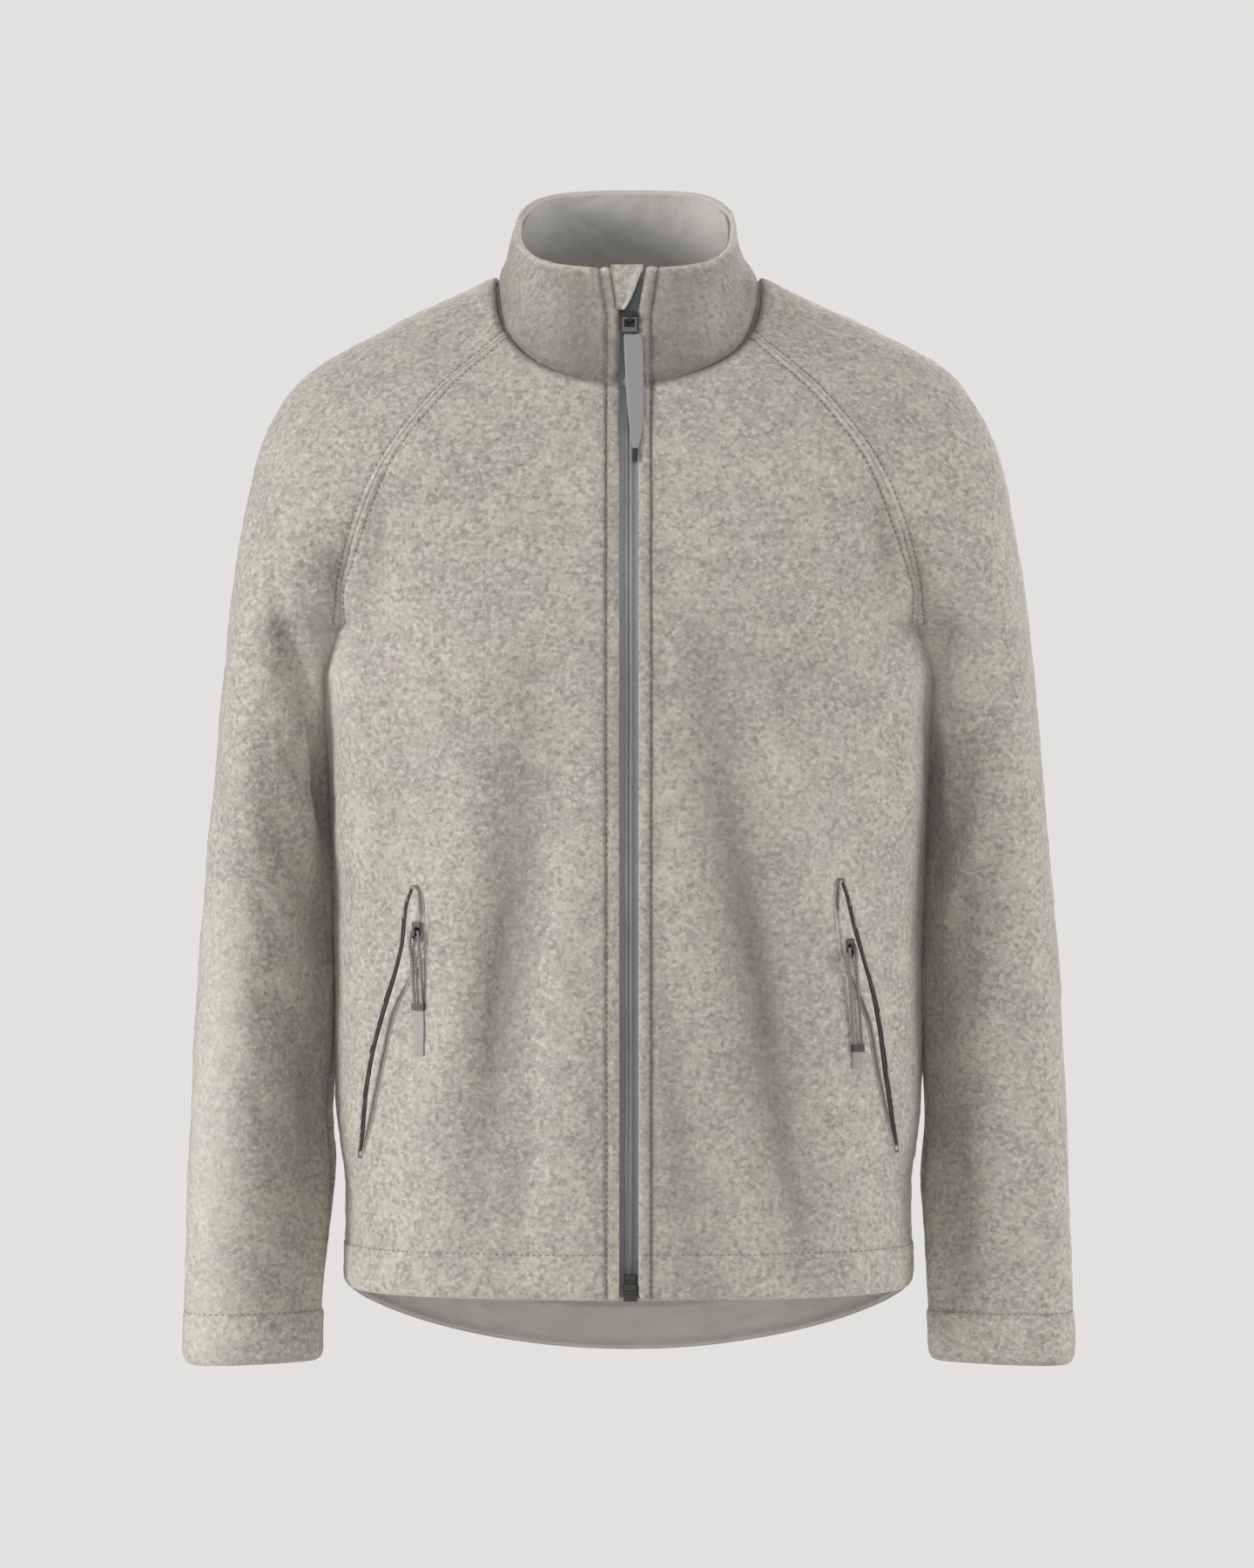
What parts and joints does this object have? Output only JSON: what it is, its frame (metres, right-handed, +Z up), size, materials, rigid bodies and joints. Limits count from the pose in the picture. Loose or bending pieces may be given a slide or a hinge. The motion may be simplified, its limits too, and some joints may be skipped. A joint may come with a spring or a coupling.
{
  "type": "fleece zip jacket",
  "caption": "Hip-length fleece jacket with raglan sleeves, stand collar, full front zip under a garage, slanted zip pockets and turned-up hems, hollow and hanging as worn.",
  "frame": {"origin": "middle of the neck hole at the height where the shoulders meet the collar", "axes": "+X the wearer's left, +Y the back, +Z up; the front zip faces -Y"},
  "size_m": [0.612, 0.2734, 0.8192],
  "materials": {
    "fleece": "melange knit fleece",
    "zip_tape": "woven tape",
    "zip_metal": "dark enamel",
    "pull_cord": "woven cord"
  },
  "bodies": {
    "garment": {"front_left": "fleece", "front_right": "fleece", "back": "fleece", "sleeve_left": "fleece", "sleeve_right": "fleece", "collar": "fleece", "zip_garage": "fleece", "zip_tape_left": "zip_tape", "zip_tape_right": "zip_tape", "zip_slider": "zip_metal", "zip_box": "zip_metal", "pocket_zip_left": "zip_tape", "pocket_zip_right": "zip_tape", "pocket_slider_left": "zip_metal", "pocket_slider_right": "zip_metal"},
    "zip_pull": {"zip_pull_ring": "zip_metal", "zip_pull_tab": "pull_cord"},
    "pocket_pull_left": {"pocket_pull_left": "pull_cord"},
    "pocket_pull_right": {"pocket_pull_right": "pull_cord"}
  },
  "joints": [
    {"name": "zip_pull_swing", "type": "hinge", "parent": "garment", "child": "zip_pull", "pos_m": [0.0005, -0.09124, -0.0195], "axis": [-1, 0, 0], "range_deg": [0, 100]},
    {"name": "pocket_pull_left_swing", "type": "hinge", "parent": "garment", "child": "pocket_pull_left", "pos_m": [0.15041, -0.10385, -0.44322], "axis": [-0.7751, -0.6309, -0.0336], "range_deg": [0, 95]},
    {"name": "pocket_pull_right_swing", "type": "hinge", "parent": "garment", "child": "pocket_pull_right", "pos_m": [-0.14374, -0.10585, -0.43205], "axis": [-0.8616, 0.5076, 0.0049], "range_deg": [0, 95]}
  ]
}
